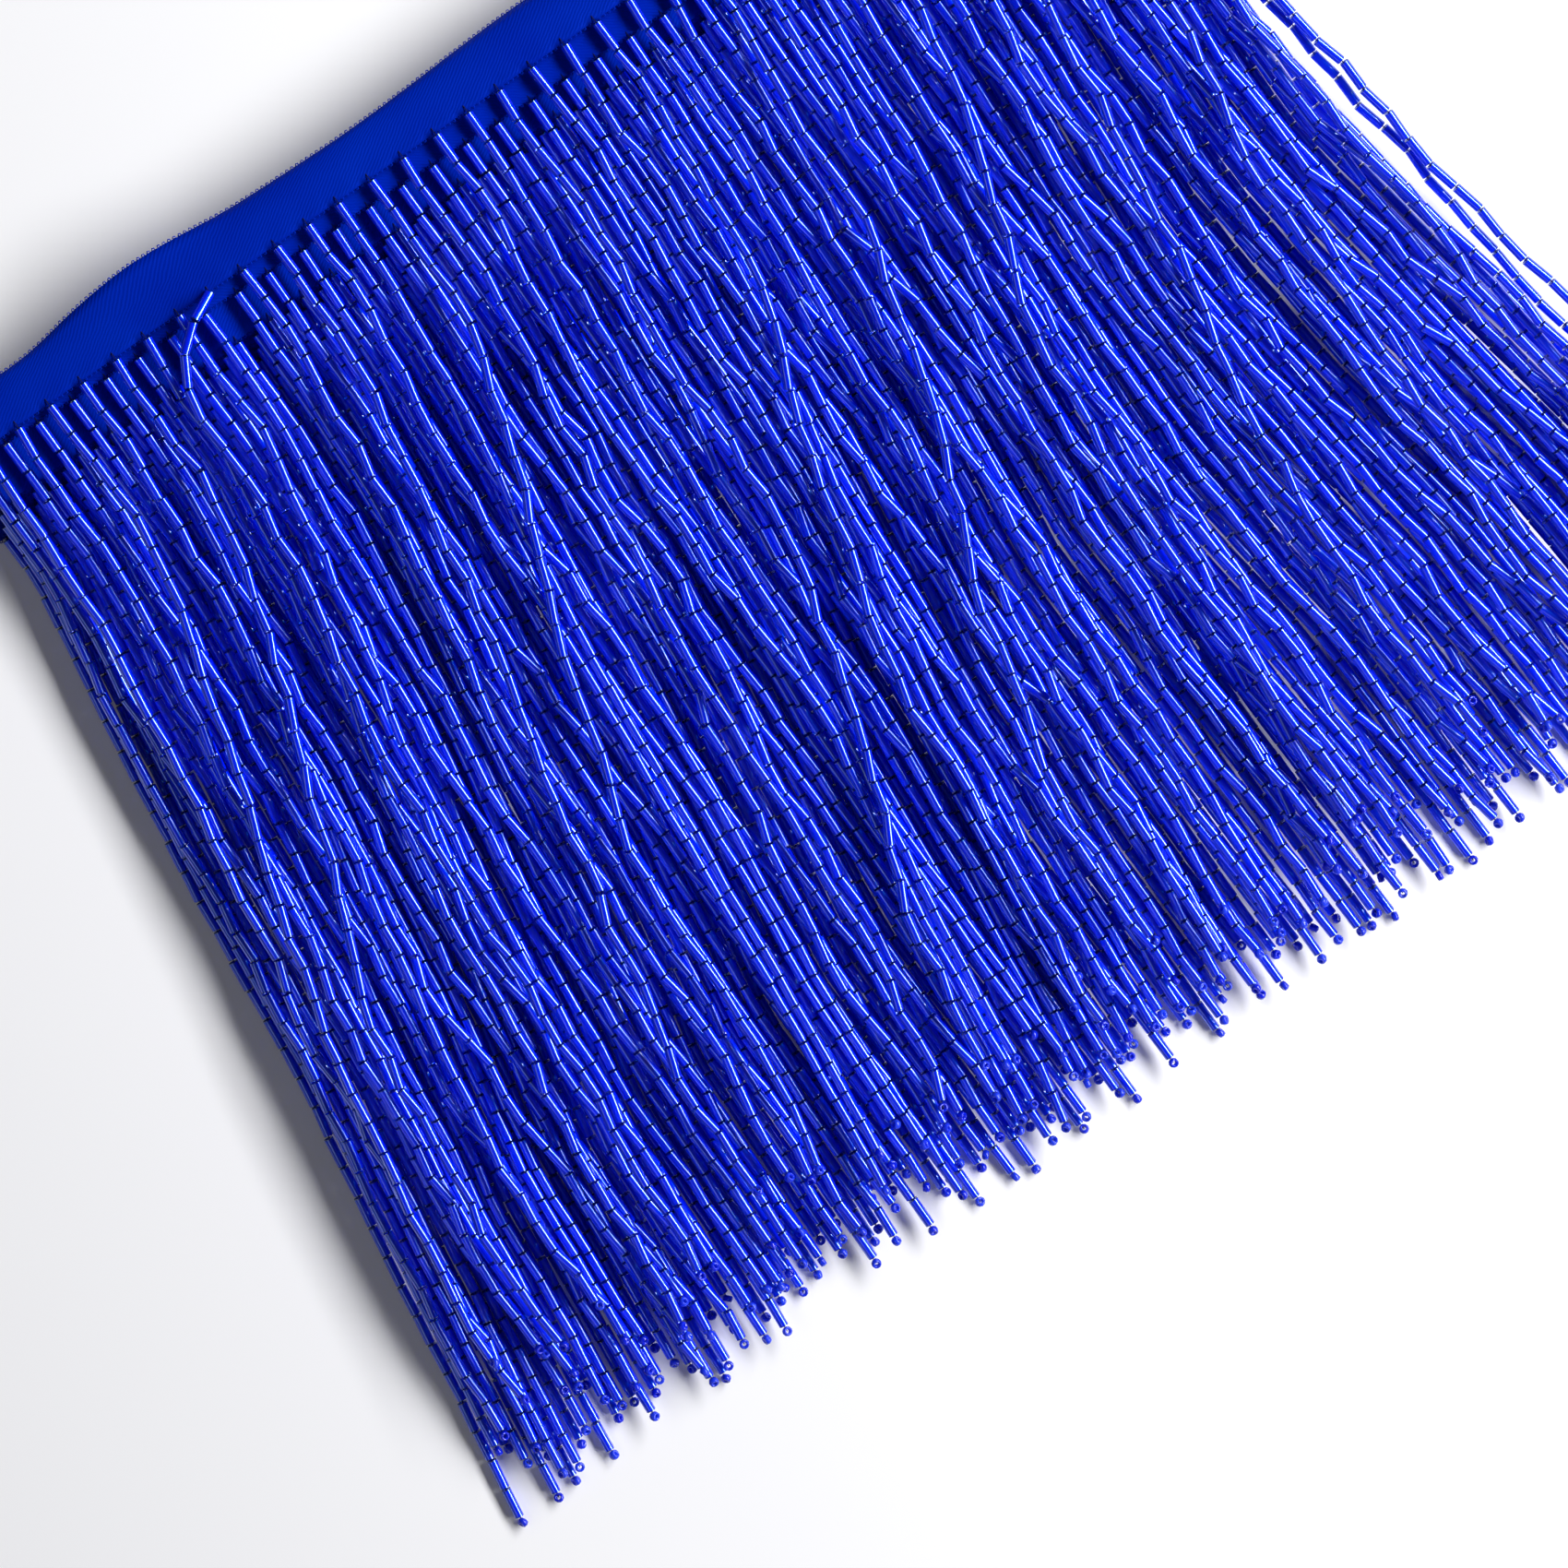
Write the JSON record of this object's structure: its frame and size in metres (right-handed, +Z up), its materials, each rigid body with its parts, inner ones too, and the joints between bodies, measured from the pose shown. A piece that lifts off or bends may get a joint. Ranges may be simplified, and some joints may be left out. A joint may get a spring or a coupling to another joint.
{
  "type": "beaded fringe trim",
  "caption": "Bugle bead fringe hanging from a satin ribbon header, one length folded back and forth into layers and laid flat.",
  "frame": {"origin": "middle of the bounding box in plan, at the surface that the trim lies on", "axes": "+X along the ribbon, +Y from the strands' tips to the ribbon, +Z up from the surface"},
  "size_m": [0.302, 0.2334, 0.0132],
  "materials": {
    "satin_ribbon": "satin weave, softly shining",
    "glass_beads": "clear cobalt glass with a silvered lining"
  },
  "bodies": {
    "root": {"ribbon": "satin_ribbon", "fringe_1": "glass_beads", "fringe_2": "glass_beads", "fringe_3": "glass_beads", "fringe_4": "glass_beads", "fringe_5": "glass_beads", "fringe_6": "glass_beads", "fringe_7": "glass_beads", "fringe_8": "glass_beads"}
  },
  "joints": []
}
